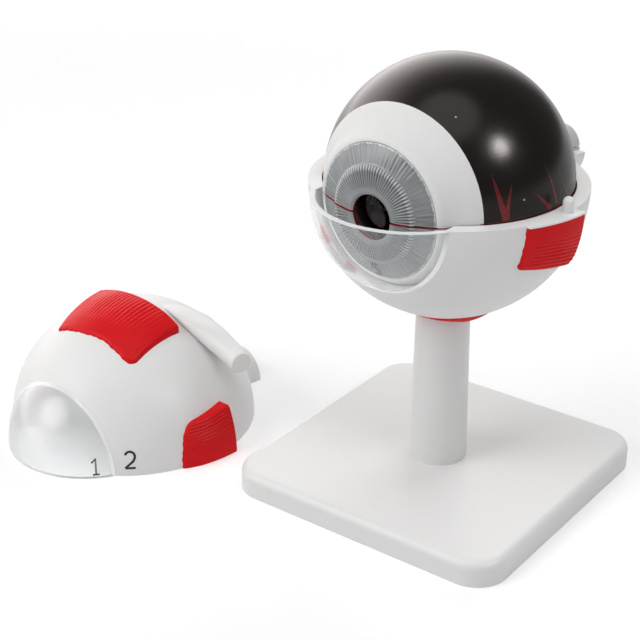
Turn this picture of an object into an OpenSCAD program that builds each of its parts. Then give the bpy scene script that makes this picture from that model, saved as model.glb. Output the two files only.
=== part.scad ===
// Take-apart model of a human eye, three times life size, on a square stand.
// The eye opens along a level plane through its middle. Its upper white shell lies
// on the table beside the stand, and the inner ball sits closed in the lower shell.
// Origin: centre of the base's underside. +Z is up. The eye looks towards -Y and
// +X is the side of the nose.

/* [Stand] */
// Side of the square base
base_side = 90; // [80:1:110]
// Thickness of the base
base_thick = 7.7; // [7:0.1:10]
// Radius of the base's upright corners
base_corner = 10; // [6:0.5:16]
// Rounding of the base's top edge
base_edge = 2.4; // [1:0.1:3.5]
// Radius of the stem where it leaves the base
stem_r_low = 8.7; // [7.5:0.1:10]
// Radius of the stem under the eye
stem_r_top = 7.8; // [7:0.1:9]
// Height of the eye's centre above the table
eye_height = 95.6; // [85:0.1:110]
// Turn of the eye on its stem
eye_turn = -4; // [-12:0.5:12]

/* [Outer shell] */
// Outer radius of the white shell
sclera_r = 39.1; // [38.6:0.1:40]
// Thickness of the white shell
sclera_wall = 3.9; // [3.5:0.1:4.5]
// Room between the inner ball's ring and the window behind the clear cornea
window_room = 1; // [0.8:0.05:1.5]
// Width of the ledge round the window that the cornea's rim stands on
window_ledge = 1.34; // [1:0.02:1.8]
// Outer radius of the clear cornea
cornea_r = 27; // [25:0.1:30]
// Thickness of the cornea
cornea_wall = 1.5; // [1:0.1:1.6]
// Diameter of a locating peg
peg_d = 3; // [2:0.1:3.4]
// Height of a locating peg above the rim
peg_tall = 4.4; // [3:0.1:6]
// Radial room of a peg in its socket
peg_room = 0.15; // [0.1:0.05:0.3]

/* [Muscles] */
// How much larger than the white shell the swelling surface of a side muscle is
side_rise = 3.2; // [2.8:0.1:4]
// How far behind the eye's centre that surface is centred
side_back = 4.6; // [4:0.1:5]
// How much larger than the white shell that of the upper muscle is
upper_rise = 2.5; // [2.2:0.1:3.2]
// How far behind the eye's centre that surface is centred
upper_back = 3; // [2:0.1:3.5]
// How much larger than the white shell that of the lower muscle is
under_rise = 1.9; // [1.7:0.1:2.5]
// How far behind the eye's centre that surface is centred
under_back = 2.5; // [2:0.1:3]
// Thickness of the red skin of a muscle
muscle_skin = 0.8; // [0.6:0.1:1.2]
// Front end of the muscle on the nose's side, ahead of the eye's centre
side_front = 15.2; // [14:0.1:17]
// How many degrees further back round the eye the muscle on the far side sits
far_turn = 16; // [8:0.5:16]
// How far its upper front corner falls back from that
side_slope = 3; // [1:0.1:4]
// Half height of a side muscle at its front end
side_half_front = 13.2; // [12:0.1:14]
// Half height of a side muscle at its rear end
side_half_rear = 16; // [15:0.5:18]
// Front end of the upper muscle, ahead of the eye's centre
upper_front = 17.5; // [15:0.5:18]
// Front end of the lower muscle, ahead of the eye's centre
under_front = 13; // [12:0.5:16]
// Half width of the upper muscle at its front end
upper_half_front = 15.6; // [13:0.1:17]
// Half width of the upper muscle at its rear end
upper_half_rear = 17.5; // [15:0.5:19]
// Half width of the lower muscle
under_half = 14; // [12:0.5:16]
// How far the upper muscle sits towards the nose
upper_shift = 1.6; // [0:0.1:2]
// Rear end of all four, behind the eye's centre
muscle_rear = 3.4; // [2.5:0.1:5]
// Height of the white edge left above the red of a lower side muscle
white_edge = 0.5; // [0.3:0.1:1]

/* [Nerve] */
// Angle of the optic nerve from straight back, towards the nose
nerve_angle = 10.5; // [8:0.5:17]
// Radius of the nerve stub
nerve_r = 6; // [5:0.1:6.5]
// How far the stub stands out of its sheath
nerve_reach = 1; // [0.5:0.1:4]
// Outer radius of the sheath round the nerve
sheath_r = 9; // [8.5:0.1:9.5]
// How far the sheath's end lies beyond the white shell
sheath_reach = 6.4; // [5:0.1:9]
// Radial room between nerve and sheath
sheath_room = 0.4; // [0.3:0.1:0.6]

/* [Inner ball] */
// Room between the black ball and the white shell
ball_room = 0.4; // [0.2:0.05:0.8]
// Thickness of the ball's black wall
choroid_wall = 1.4; // [1.2:0.1:1.6]
// Thickness of the red lining
retina_wall = 1; // [0.8:0.1:1.2]
// Front edge of the red lining, ahead of the eye's centre
retina_front = 15; // [12:0.5:17]
// Depth of the white ring, from its lip's centre back to the black
ring_depth = 7.32; // [6.5:0.02:8]
// Wall of the white ring
ring_wall = 2.6; // [2.4:0.1:3]
// Centre of the ring's rounded lip, out from the eye's axis
lip_out = 19.2; // [18.5:0.1:20]
// Radius of that rounding
lip_r = 1.8; // [1.5:0.1:2]
// Gap between the two halves of the ball
seam = 0.4; // [0.3:0.1:0.6]
// How far the ball tips nose-down in the shell
ball_tip = 1; // [0:0.1:1]

/* [Iris and lens] */
// How far the iris's edge lies inside the middle of the ring's lip
iris_inset = 0.5; // [0.3:0.1:1]
// Radius of the iris's domed front
iris_dome = 32; // [31:0.1:33]
// How far that front stands ahead of the lip's centre at the iris's edge
iris_lift = 1.95; // [1.8:0.05:2.2]
// Thickness of the iris
iris_wall = 1.8; // [1.4:0.1:2]
// Radius of the pupil
pupil_r = 6.2; // [5:0.1:7]
// Radius of the lens
lens_r = 13; // [12:0.1:13.5]
// How far the front of the lens lies behind the lip's centre
lens_set = 0.52; // [0.2:0.02:1]
// Thickness of the lens
lens_thick = 9; // [8.5:0.1:9.5]
// Radius of the lens's front surface
lens_front_dome = 28; // [26:0.5:32]
// Radius of the lens's rear surface
lens_rear_dome = 24; // [23:0.5:26]
// Room between the clear body and the ball's lining
vitreous_room = 0.4; // [0.3:0.05:0.8]
// Room between lens and clear body
lens_room = 0.35; // [0.3:0.05:0.5]
// Depth of the lens's seat in the clear body
seat_depth = 2.3; // [1.8:0.1:2.4]

/* [Upper oblique muscle] */
// Width of the strap and rod against the ones drawn here
strap_width = 1; // [0.8:0.05:1.1]
// Thickness of the strap and rod against the ones drawn here
strap_thickness = 1; // [0.8:0.05:1.1]

/* [Screws] */
// Radius of a screw's shank
screw_r = 1.9; // [1.5:0.1:2.2]
// How far a screw's thread bites into the stem
screw_bite = 0.25; // [0.1:0.05:0.4]
// Radius of a screw's head
screw_head_r = 4; // [3.5:0.1:4.5]
// Length of a screw in the stem
screw_hold = 13; // [8:1:20]

/* [Shell on the table] */
// Place of the shell across the table
shell_x = -98.9; // [-130:0.1:-92]
// Place of the shell along the table
shell_y = -28.4; // [-60:0.1:30]
// Turn of the shell on the table
shell_turn = -2; // [-20:0.5:20]

/* [Hidden] */
$fn = 96;
ROOT_NODES = [
    "base_plate", "stem", "base_screw", "bowl_screw",
    "lower_sclera", "lower_cornea", "medial_rectus_lower", "lateral_rectus_lower",
    "inferior_rectus"
];
SHELL_NODES = [
    "upper_sclera", "upper_cornea", "medial_rectus_upper", "lateral_rectus_upper",
    "superior_rectus", "superior_oblique"
];
BALL_NODES = [
    "lower_choroid", "lower_retina", "lower_ciliary_ring", "lower_iris", "lower_optic_nerve",
    "vitreous_body", "lens",
    "upper_choroid", "upper_retina", "upper_ciliary_ring", "upper_iris", "upper_optic_nerve"
];

WHITE = [0.93, 0.93, 0.92];
RED = [0.78, 0.07, 0.09];
CLEAR = [0.90, 0.94, 0.96, 0.35];

// The shell's hollow, the ball in it and the clear body in that
sclera_in = sclera_r - sclera_wall;
ball_r = sclera_in - ball_room;
vitreous_r = ball_r - choroid_wall - retina_wall - vitreous_room;
// The ring's lip is centred on the ball's surface, and iris, lens and black edge go by it
lip_ahead = sqrt(ball_r * ball_r - lip_out * lip_out);
ring_back = lip_ahead - ring_depth;
iris_r = lip_out - iris_inset;
iris_ahead = lip_ahead + iris_lift - sqrt(iris_dome * iris_dome - iris_r * iris_r);
lens_front = lip_ahead - lens_set;
// The window clears the lip, and the cornea stands on the ledge round it, where its sphere
// crosses the shell's
window_r = lip_out + lip_r + window_room;
cornea_rim = window_r + window_ledge;
junction = sqrt(sclera_r * sclera_r - cornea_rim * cornea_rim);
cornea_ahead = junction - sqrt(cornea_r * cornea_r - cornea_rim * cornea_rim);
side_r = sclera_r + side_rise;
upper_r = sclera_r + upper_rise;
under_r = sclera_r + under_rise;
sheath_end = sclera_r + sheath_reach;
nerve_end = sheath_end + nerve_reach;
// The pegs stand in the middle of the thick side walls
peg_inset = 0.4;
far_peg_inset = 1.1;
peg_out = sclera_r - peg_inset;
far_peg_out = sclera_r - far_peg_inset;
// Gap between the stem and the swelling round it
stem_gap = 0.5;
// A box wider than the whole eye, for cutting
big = 120;
// How deep a swelling reaches into the shell under it
bond = 1.5;
stem_spigot_r = 5.5;
stem_spigot = 2.6;
head_tall = 2.4;
head_room = 0.6;
// Height of the web between screw head and spigot
web_low = head_tall + head_room;
stem_top = sqrt(sclera_r * sclera_r - stem_r_top * stem_r_top);
head_sink = 0.5;
bowl_screw_seat = sclera_in + head_sink;
lens_back = lens_front - lens_thick;
seat_dome = lens_rear_dome + 0.4;
seat_back = lens_back - lens_room;
vitreous_front = seat_back + seat_depth;
// The ridge round the lens stands between the front and rear edges of the lens's rim
ridge_room = 1.6;
ridge_front = lens_front - lens_front_dome + sqrt(pow(lens_front_dome, 2) - pow(lens_r, 2));
ridge_back = lens_back + lens_rear_dome - sqrt(pow(lens_rear_dome, 2) - pow(lens_r, 2));
ridge_foot = vitreous_front + 0.4;
ridge_head = lens_front - 1;

// The upper oblique muscle from its flat end, bedded in the shell, to its cut end, which
// stands clear of it: place of the middle line, then half width and half thickness there,
// as drawn on a shell of the radius ROUTE_SHELL
ROUTE_SHELL = 39.1;
STRAP_ROUTE = [
    [-2.7, 15.8, 33.2, 5.5, 0.8], [4.2, 14.8, 34.2, 6.6, 1.1], [9.7, 14.4, 34.4, 7.6, 1.4],
    [14.5, 13.7, 34, 8.2, 1.8], [18.5, 13, 33, 7.8, 2.5], [23, 12.1, 32, 6.6, 3.3],
    [27.7, 11, 31.1, 5.2, 3.7], [32.3, 9.9, 30.2, 4.1, 3.7], [36.7, 8.7, 29.4, 3.6, 3.5],
    [41.1, 7, 29, 3.3, 3.3]
];
STRAP_SIDES = 24;

// ---- placing ----

module on_stand() {
    translate([0, 0, eye_height]) rotate([0, 0, eye_turn]) children();
}

// The ball's own frame, a little nose-down in the shell
module in_ball() {
    on_stand() rotate([ball_tip, 0, 0]) children();
}

module on_table() {
    translate([shell_x, shell_y, 0]) rotate([0, 0, shell_turn]) children();
}

// Turns a flat profile, x out from the axis and y ahead, about the eye's axis
module round_the_axis() {
    rotate([90, 0, 0]) rotate_extrude() intersection() {
        children();
        translate([0, -big / 2]) square([big, big]);
    }
}

module above(z = 0) {
    intersection() {
        children();
        translate([-big / 2, -big / 2, z]) cube([big, big, big]);
    }
}

module below(z = 0) {
    intersection() {
        children();
        translate([-big / 2, -big / 2, z - big]) cube([big, big, big]);
    }
}

// Points a cylinder's own +Z along the optic nerve
module along_nerve() {
    rotate([0, 0, -nerve_angle]) rotate([-90, 0, 0]) children();
}

module ahead_of(h) {
    translate([-big / 2, h]) square([big, big]);
}

// ---- stand ----

// Half of the base's section: flat underside, rounded top edge at x = reach
module base_section(reach) {
    shoulder = base_thick - base_edge;
    square([reach, shoulder]);
    square([reach - base_edge, base_thick]);
    translate([reach - base_edge, shoulder]) intersection() {
        circle(base_edge);
        square(base_edge);
    }
}

module base_blank() {
    flat = base_side - 2 * base_corner;
    for (turn = [0:90:270]) rotate([0, 0, turn]) {
        translate([flat / 2, flat / 2, 0]) rotate_extrude(angle = 90) base_section(base_corner);
        translate([flat / 2, flat / 2, 0]) rotate([90, 0, 0])
            linear_extrude(flat) base_section(base_corner);
    }
    translate([-flat / 2, -flat / 2, 0]) cube([flat, flat, base_thick]);
}

module base_plate() {
    color(WHITE) difference() {
        base_blank();
        translate([0, 0, base_thick - stem_spigot]) cylinder(h = big, r = stem_spigot_r);
        translate([0, 0, -1]) cylinder(h = big, r = screw_r + 0.2);
        translate([0, 0, -1]) cylinder(h = 1 + web_low, r = screw_head_r + 0.6);
    }
}

module stem() {
    low = base_thick;
    color(WHITE) difference() {
        union() {
            translate([0, 0, low]) cylinder(h = eye_height - low - stem_top + 2,
                r1 = stem_r_low, r2 = stem_r_top);
            translate([0, 0, low - stem_spigot]) cylinder(h = stem_spigot + 1, r = stem_spigot_r);
        }
        translate([0, 0, eye_height]) sphere(sclera_r);
        cylinder(h = web_low + screw_hold, r = screw_r - screw_bite);
        translate([0, 0, eye_height - sclera_r - screw_hold])
            cylinder(h = big, r = screw_r - screw_bite);
    }
}

// A pan-head screw with its head at z = 0 and its shank upwards
module screw(grip) {
    difference() {
        union() {
            cylinder(h = head_tall, r = screw_head_r);
            cylinder(h = head_tall + grip, r = screw_r);
        }
        for (turn = [0, 90]) rotate([0, 0, turn])
            translate([-screw_head_r * 0.6, -0.5, -1]) cube([screw_head_r * 1.2, 1, 2]);
    }
}

module base_screw() {
    color("silver") translate([0, 0, head_room]) screw(screw_hold - 1);
}

module bowl_screw() {
    color("silver") on_stand() translate([0, 0, -bowl_screw_seat]) rotate([180, 0, 0])
        screw(sclera_r - sclera_in + screw_hold - head_tall - 1.5);
}

// ---- outer shell, built whole about the eye's centre ----

module shell_wall() {
    round_the_axis() difference() {
        circle(sclera_r);
        circle(sclera_in);
        ahead_of(junction);
        square([window_r, big]);
    }
}

module cornea_wall_whole() {
    round_the_axis() intersection() {
        difference() {
            translate([0, cornea_ahead]) circle(cornea_r);
            translate([0, cornea_ahead]) circle(cornea_r - cornea_wall);
        }
        ahead_of(junction);
    }
}

// The plan of a muscle, seen square on: x across it and y ahead, drawn in by an inset.
// The corner on the -x side falls back by the slope.
module muscle_plan(front, slope, half_front, half_rear, inset) {
    f = front - inset;
    r = muscle_rear - inset;
    polygon([
        [-half_front + inset, f - slope], [0, f], [half_front - inset, f],
        [half_rear - inset, -r], [-half_rear + inset, -r]
    ]);
}

// The solid of a muscle on the top of the eye: its plan raised as far as a sphere
module swelling(r, back) {
    intersection() {
        translate([0, back, 0]) sphere(r);
        mirror([0, 1, 0]) linear_extrude(big / 2) children();
    }
}

module nose_swelling(inset) {
    rotate([0, 90, 0]) swelling(side_r - inset, side_back)
        muscle_plan(side_front, side_slope, side_half_front, side_half_rear, inset);
}

// side = 1 is the nose's side
module side_swelling(side, inset) {
    if (side > 0) nose_swelling(inset);
    else rotate([0, 0, -far_turn]) mirror([1, 0, 0]) nose_swelling(inset);
}

module upper_swelling(inset) {
    swelling(upper_r - inset, upper_back) translate([upper_shift, 0])
        muscle_plan(upper_front, 0, upper_half_front, upper_half_rear, inset);
}

module under_swelling(inset) {
    mirror([0, 0, 1]) swelling(under_r - inset, under_back)
        muscle_plan(under_front, 0, under_half, under_half, inset);
}

// The red skin between a muscle's solid and the same solid drawn in
module side_muscle(side) {
    difference() {
        side_swelling(side, 0);
        side_swelling(side, muscle_skin);
        sphere(sclera_r);
    }
}

module upper_muscle() {
    difference() {
        upper_swelling(0);
        upper_swelling(muscle_skin);
        sphere(sclera_r);
    }
}

module under_muscle() {
    difference() {
        under_swelling(0);
        under_swelling(muscle_skin);
        sphere(sclera_r);
    }
}

// The white swellings under the red skins
module side_boss(side) {
    difference() {
        side_swelling(side, muscle_skin);
        sphere(sclera_r - bond);
    }
}

// The white edge along the rim of a side muscle, which takes the skin's place there
module side_edge(side) {
    above(-white_edge) difference() {
        side_swelling(side, 0);
        sphere(sclera_r - bond);
    }
}

module upper_boss() {
    difference() {
        upper_swelling(muscle_skin);
        sphere(sclera_r - bond);
    }
}

module under_boss() {
    difference() {
        under_swelling(muscle_skin);
        sphere(sclera_r - bond);
    }
}

// The room round the stem under the eye
module stem_way() {
    translate([0, 0, -big / 2]) cylinder(h = big / 2, r = stem_r_top + stem_gap);
}

module sheath_whole() {
    along_nerve() translate([0, 0, sclera_in + 1])
        cylinder(h = sheath_end - sclera_in - 1, r = sheath_r);
}

module nerve_way() {
    along_nerve() translate([0, 0, sclera_in / 2]) cylinder(h = big, r = nerve_r + sheath_room);
}

module at_pegs() {
    for (x = [-far_peg_out, peg_out]) translate([x, 0, 0]) children();
}

module peg() {
    r = peg_d / 2;
    translate([0, 0, -3]) cylinder(h = 3 + peg_tall - r, r = r);
    translate([0, 0, peg_tall - r]) sphere(r);
}

module lower_sclera() {
    color(WHITE) on_stand() {
        difference() {
            union() {
                below() difference() {
                    union() {
                        shell_wall();
                        for (side = [-1, 1]) {
                            side_boss(side);
                            side_edge(side);
                        }
                        difference() {
                            under_boss();
                            stem_way();
                        }
                        difference() {
                            sheath_whole();
                            sphere(sclera_in + 1);
                        }
                    }
                    nerve_way();
                }
                at_pegs() peg();
            }
            translate([0, 0, -big / 2]) cylinder(h = big / 2 - 1, r = screw_r + 0.2);
            translate([0, 0, -bowl_screw_seat - head_tall])
                cylinder(h = head_tall + sclera_wall, r = screw_head_r + 0.4);
        }
    }
}

module lower_cornea() {
    color(CLEAR) on_stand() below() cornea_wall_whole();
}

module medial_rectus_lower() {
    color(RED) on_stand() below(-white_edge) side_muscle(1);
}

module lateral_rectus_lower() {
    color(RED) on_stand() below(-white_edge) side_muscle(-1);
}

module inferior_rectus() {
    color(RED) on_stand() difference() {
        under_muscle();
        stem_way();
    }
}

module upper_sclera() {
    socket_r = peg_d / 2 + peg_room;
    color(WHITE) on_table() above() difference() {
        union() {
            shell_wall();
            for (side = [-1, 1]) side_boss(side);
            upper_boss();
            difference() {
                sheath_whole();
                sphere(sclera_in + 1);
            }
        }
        nerve_way();
        at_pegs() translate([0, 0, -1]) cylinder(h = peg_tall + 1.6, r = socket_r);
    }
}

module upper_cornea() {
    color(CLEAR) on_table() above() cornea_wall_whole();
}

module medial_rectus_upper() {
    color(RED) on_table() above() side_muscle(1);
}

module lateral_rectus_upper() {
    color(RED) on_table() above() side_muscle(-1);
}

module superior_rectus() {
    color(RED) on_table() upper_muscle();
}

// ---- upper oblique muscle: one skin swept along its route ----

function unit(v) = v / norm(v);
function place(i) =
    [STRAP_ROUTE[i][0], STRAP_ROUTE[i][1], STRAP_ROUTE[i][2]] * sclera_r / ROUTE_SHELL;
function heading(i) = unit(place(min(i + 1, len(STRAP_ROUTE) - 1)) - place(max(i - 1, 0)));
// Sideways and outward directions at a ring, square to the route
function outward(i) = unit(unit(place(i)) - heading(i) * (unit(place(i)) * heading(i)));
function sideways(i) = cross(heading(i), outward(i));
function ring_point(i, a) =
    place(i) + sideways(i) * strap_width * STRAP_ROUTE[i][3] * cos(a)
    + outward(i) * strap_thickness * STRAP_ROUTE[i][4] * sin(a);

module superior_oblique() {
    rings = len(STRAP_ROUTE);
    points = [for (i = [0:rings - 1], k = [0:STRAP_SIDES - 1]) ring_point(i, k * 360 / STRAP_SIDES)];
    walls = [
        for (i = [0:rings - 2], k = [0:STRAP_SIDES - 1])
            let (n = (k + 1) % STRAP_SIDES, a = i * STRAP_SIDES, b = a + STRAP_SIDES)
            each [[a + k, b + k, b + n], [a + k, b + n, a + n]]
    ];
    first = [for (k = [0:STRAP_SIDES - 1]) k];
    last = [for (k = [STRAP_SIDES - 1:-1:0]) (rings - 1) * STRAP_SIDES + k];
    color(WHITE) on_table() polyhedron(points, concat(walls, [first], [last]));
}

// ---- inner ball, built whole about the eye's centre ----

module choroid_whole() {
    round_the_axis() difference() {
        circle(ball_r);
        circle(ball_r - choroid_wall);
        ahead_of(ring_back);
    }
}

module retina_whole() {
    round_the_axis() difference() {
        circle(ball_r - choroid_wall);
        circle(ball_r - choroid_wall - retina_wall);
        ahead_of(retina_front);
    }
}

module iris_profile() {
    intersection() {
        translate([0, iris_ahead]) difference() {
            circle(iris_dome);
            circle(iris_dome - iris_wall);
        }
        translate([pupil_r, 0]) square([iris_r - pupil_r, big]);
    }
}

// The white ring in front of the black ball
module ring_wall_whole() {
    round_the_axis() intersection() {
        difference() {
            circle(ball_r);
            circle(ball_r - ring_wall);
        }
        translate([lip_out - lip_r, ring_back]) square([big, lip_ahead - ring_back]);
    }
}

// The ring's rounded lip, which stands round the iris
module ring_lip_whole() {
    round_the_axis() translate([lip_out, lip_ahead]) circle(lip_r);
}

// How far out the middle of the ring's wall is at a distance ahead
function mid_wall(y) = sqrt(pow(ball_r - ring_wall / 2, 2) - y * y);

// The ridge inside the ring, which stands round the lens
module ring_ridge_whole() {
    bore = lens_r + ridge_room;
    round_the_axis() polygon([
        [mid_wall(ridge_foot), ridge_foot], [bore, ridge_back], [bore, ridge_front],
        [mid_wall(ridge_head), ridge_head]
    ]);
}

module ring_whole() {
    difference() {
        union() {
            ring_wall_whole();
            ring_lip_whole();
            ring_ridge_whole();
        }
        iris_whole();
    }
}

module iris_whole() {
    round_the_axis() iris_profile();
}

module nerve_whole() {
    difference() {
        rotate([-ball_tip, 0, 0]) along_nerve() translate([0, 0, ball_r - 2])
            cylinder(h = nerve_end - ball_r + 2, r = nerve_r);
        sphere(ball_r);
    }
}

module lower_choroid() {
    color([0.05, 0.05, 0.05]) in_ball() below(-seam / 2) choroid_whole();
}

module upper_choroid() {
    color([0.05, 0.05, 0.05]) in_ball() above(seam / 2) choroid_whole();
}

module lower_retina() {
    color([0.72, 0.16, 0.10]) in_ball() below(-seam / 2) retina_whole();
}

module upper_retina() {
    color([0.72, 0.16, 0.10]) in_ball() above(seam / 2) retina_whole();
}

module lower_ciliary_ring() {
    color(WHITE) in_ball() below(-seam / 2) ring_whole();
}

module upper_ciliary_ring() {
    color(WHITE) in_ball() above(seam / 2) ring_whole();
}

module lower_iris() {
    color([0.52, 0.57, 0.59]) in_ball() below(-seam / 2) iris_whole();
}

module upper_iris() {
    color([0.52, 0.57, 0.59]) in_ball() above(seam / 2) iris_whole();
}

module lower_optic_nerve() {
    color([0.80, 0.80, 0.80]) in_ball() below(-seam / 2) nerve_whole();
}

module upper_optic_nerve() {
    color([0.80, 0.80, 0.80]) in_ball() above(seam / 2) nerve_whole();
}

module vitreous_body() {
    color(CLEAR) in_ball() round_the_axis() difference() {
        circle(vitreous_r);
        ahead_of(vitreous_front);
        translate([0, seat_back + seat_dome]) circle(seat_dome);
    }
}

module lens() {
    color(CLEAR) in_ball() round_the_axis() intersection() {
        translate([0, lens_front - lens_front_dome]) circle(lens_front_dome);
        translate([0, lens_back + lens_rear_dome]) circle(lens_rear_dome);
        square([lens_r, big]);
    }
}

base_plate();
stem();
base_screw();
bowl_screw();
lower_sclera();
lower_cornea();
medial_rectus_lower();
lateral_rectus_lower();
inferior_rectus();
upper_sclera();
upper_cornea();
medial_rectus_upper();
lateral_rectus_upper();
superior_rectus();
superior_oblique();
lower_choroid();
lower_retina();
lower_ciliary_ring();
lower_iris();
lower_optic_nerve();
vitreous_body();
lens();
upper_choroid();
upper_retina();
upper_ciliary_ring();
upper_iris();
upper_optic_nerve();
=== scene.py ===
# %% [markdown]
# # A take-apart model of the eye
#
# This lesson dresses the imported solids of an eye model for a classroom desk. The lower white
# shell stands on a stem, a closed black ball rests in it, and the upper white shell lies on the
# table. The solids give the sizes. Here the surfaces get their ribs, grain, vessels and gloss.

import bmesh
import bpy
import numpy as np
from mathutils import Matrix, Vector


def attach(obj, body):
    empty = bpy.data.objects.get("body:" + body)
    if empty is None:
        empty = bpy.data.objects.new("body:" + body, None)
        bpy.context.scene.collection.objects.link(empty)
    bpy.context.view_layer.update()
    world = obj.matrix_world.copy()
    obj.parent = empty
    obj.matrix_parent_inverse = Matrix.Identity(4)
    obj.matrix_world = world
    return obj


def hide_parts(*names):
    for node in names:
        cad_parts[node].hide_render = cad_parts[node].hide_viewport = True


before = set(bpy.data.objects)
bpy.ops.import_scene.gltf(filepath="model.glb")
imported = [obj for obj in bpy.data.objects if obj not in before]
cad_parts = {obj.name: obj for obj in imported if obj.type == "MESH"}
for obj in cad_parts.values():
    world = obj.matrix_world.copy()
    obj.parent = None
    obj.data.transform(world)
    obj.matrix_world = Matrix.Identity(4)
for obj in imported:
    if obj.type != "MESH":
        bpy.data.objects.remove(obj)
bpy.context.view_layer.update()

# %% [markdown]
# ## The camera
#
# The photograph looks down on the model from the front right. A long lens keeps the square base
# almost free of perspective. The camera is placed by numbers, because its right, up and back
# directions were fitted to the edges of the base and the round outline of the ball.

# %% Make the camera
CAMERA_RIGHT = Vector((0.80018, 0.59976, 0.00155))
CAMERA_UP = Vector((-0.26431, 0.35031, 0.89856))
CAMERA_BACK = Vector((0.53838, -0.71942, 0.43884))
CAMERA_PLACE = Vector((0.206783, -0.335802, 0.243439))

camera_data = bpy.data.cameras.new("photo_camera")
camera_data.sensor_width = 36
camera_data.lens = 84.76
camera = bpy.data.objects.new("photo_camera", camera_data)
bpy.context.scene.collection.objects.link(camera)
turn = Matrix((CAMERA_RIGHT, CAMERA_UP, CAMERA_BACK)).transposed()
camera.matrix_world = Matrix.Translation(CAMERA_PLACE) @ turn.to_4x4()
bpy.context.scene.camera = camera
print("camera at", [round(v, 3) for v in CAMERA_PLACE], "lens", camera_data.lens, "mm")

# %% [markdown]
# ## Light
#
# The light is that of a white photo table: a large soft lamp from the front left, a dimmer one
# overhead, weak ones from the rear and the right that open the shadows and aren't mirrored, and a
# small one on the right that makes the round glint on the black ball. A material can only look
# glossy when there is something to mirror, so the world is white towards the left and dark on the
# right, as a room with one open side is. Clear pieces show the white world only through their
# first few walls, which keeps the inside of the closed ball dark.

# %% Lamps
WATCHED = Vector((0.0, 0.0, 0.07))


def direction(azimuth, elevation):
    """Unit vector from the model: azimuth 0 points to -Y, 90 to +X, and elevation goes up."""
    a, e = np.radians([azimuth, elevation])
    return Vector((np.sin(a) * np.cos(e), -np.cos(a) * np.cos(e), np.sin(e)))


def soft_lamp(name, shape, azimuth, elevation, distance, width, height, watts):
    """A flat lamp of a shape that looks at the model from a direction and a distance."""
    data = bpy.data.lights.new(name, "AREA")
    data.shape = shape
    data.size, data.size_y, data.energy = width, height, watts
    lamp = bpy.data.objects.new(name, data)
    bpy.context.scene.collection.objects.link(lamp)
    lamp.location = WATCHED + direction(azimuth, elevation) * distance
    lamp.rotation_euler = direction(azimuth, elevation).to_track_quat("Z", "Y").to_euler()
    return lamp


# Name, shape, azimuth, elevation, distance, width, height and watts.
LAMPS = [
    ("left_lamp", "ELLIPSE", -36, 36, 1.4, 1.0, 0.85, 8.5),
    ("top_lamp", "DISK", 20, 76, 1.5, 1.35, 1.35, 7.6),
    ("rear_lamp", "RECTANGLE", -172, 35, 1.4, 1.0, 0.8, 6.3),
    ("right_lamp", "RECTANGLE", 91, 39, 1.4, 1.0, 0.8, 3.5),
    ("glint_lamp", "DISK", 91, 39, 1.5, 0.32, 0.32, 13.0),
]
lamps = {row[0]: soft_lamp(*row) for row in LAMPS}
for name in ("rear_lamp", "right_lamp"):
    lamps[name].visible_glossy = False
lamps["glint_lamp"].visible_diffuse = False
print("lamps:", ", ".join(lamps))

# %% World
world = bpy.data.worlds.new("photo_room")
bpy.context.scene.world = world
world.use_nodes = True
room = world.node_tree
room.nodes.clear()


def node(tree, kind, **settings):
    """A new node of a kind. A setting sets an input by its name, or else a property."""
    made = tree.nodes.new(kind)
    for key, value in settings.items():
        name = key.replace("_", " ")
        if name in made.inputs:
            made.inputs[name].default_value = value
        else:
            setattr(made, key, value)
    return made


def join(tree, *ends):
    """Links outputs to inputs. The ends come in pairs: (node, output), (node, input)."""
    for (a, out), (b, into) in zip(ends[::2], ends[1::2]):
        tree.links.new(a.outputs[out], b.inputs[into])


def ramp(tree, start, end, low, high):
    """A number that goes smoothly from low at start to high at end."""
    made = node(tree, "ShaderNodeMapRange", interpolation_type="SMOOTHSTEP")
    for socket, value in zip(("From Min", "From Max", "To Min", "To Max"), (start, end, low, high)):
        made.inputs[socket].default_value = value
    return made


PANEL_GLOW, ROOM_GLOW, FEW_WALLS = 3.3, 0.15, 4.5

path = node(room, "ShaderNodeLightPath")
look = node(room, "ShaderNodeTexCoord")
on_the_left = node(room, "ShaderNodeVectorMath", operation="DOT_PRODUCT")
on_the_left.inputs[1].default_value = (-1, 0, 0)
height = node(room, "ShaderNodeSeparateXYZ")
by_side = ramp(room, 0.0, 0.9, 0, 1)
by_height = ramp(room, 0.45, 1.0, 1, 0)
panel = node(room, "ShaderNodeMath", operation="MULTIPLY")
level = node(room, "ShaderNodeMath", operation="MULTIPLY_ADD")
level.inputs[1].default_value = PANEL_GLOW
level.inputs[2].default_value = ROOM_GLOW
plain = node(room, "ShaderNodeBackground", Color=(0.98, 0.99, 1.0, 1), Strength=0.2)
mirrored = node(room, "ShaderNodeBackground", Color=(1, 0.94, 0.92, 1))
white = node(room, "ShaderNodeBackground", Color=(1, 1, 1, 1), Strength=1.0)
shallow = node(room, "ShaderNodeMath", operation="LESS_THAN")
shallow.inputs[1].default_value = FEW_WALLS
through_few = node(room, "ShaderNodeMath", operation="MULTIPLY")
seen = node(room, "ShaderNodeMath", operation="MAXIMUM")
by_gloss = node(room, "ShaderNodeMixShader")
by_eye = node(room, "ShaderNodeMixShader")
room_out = node(room, "ShaderNodeOutputWorld")
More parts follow.
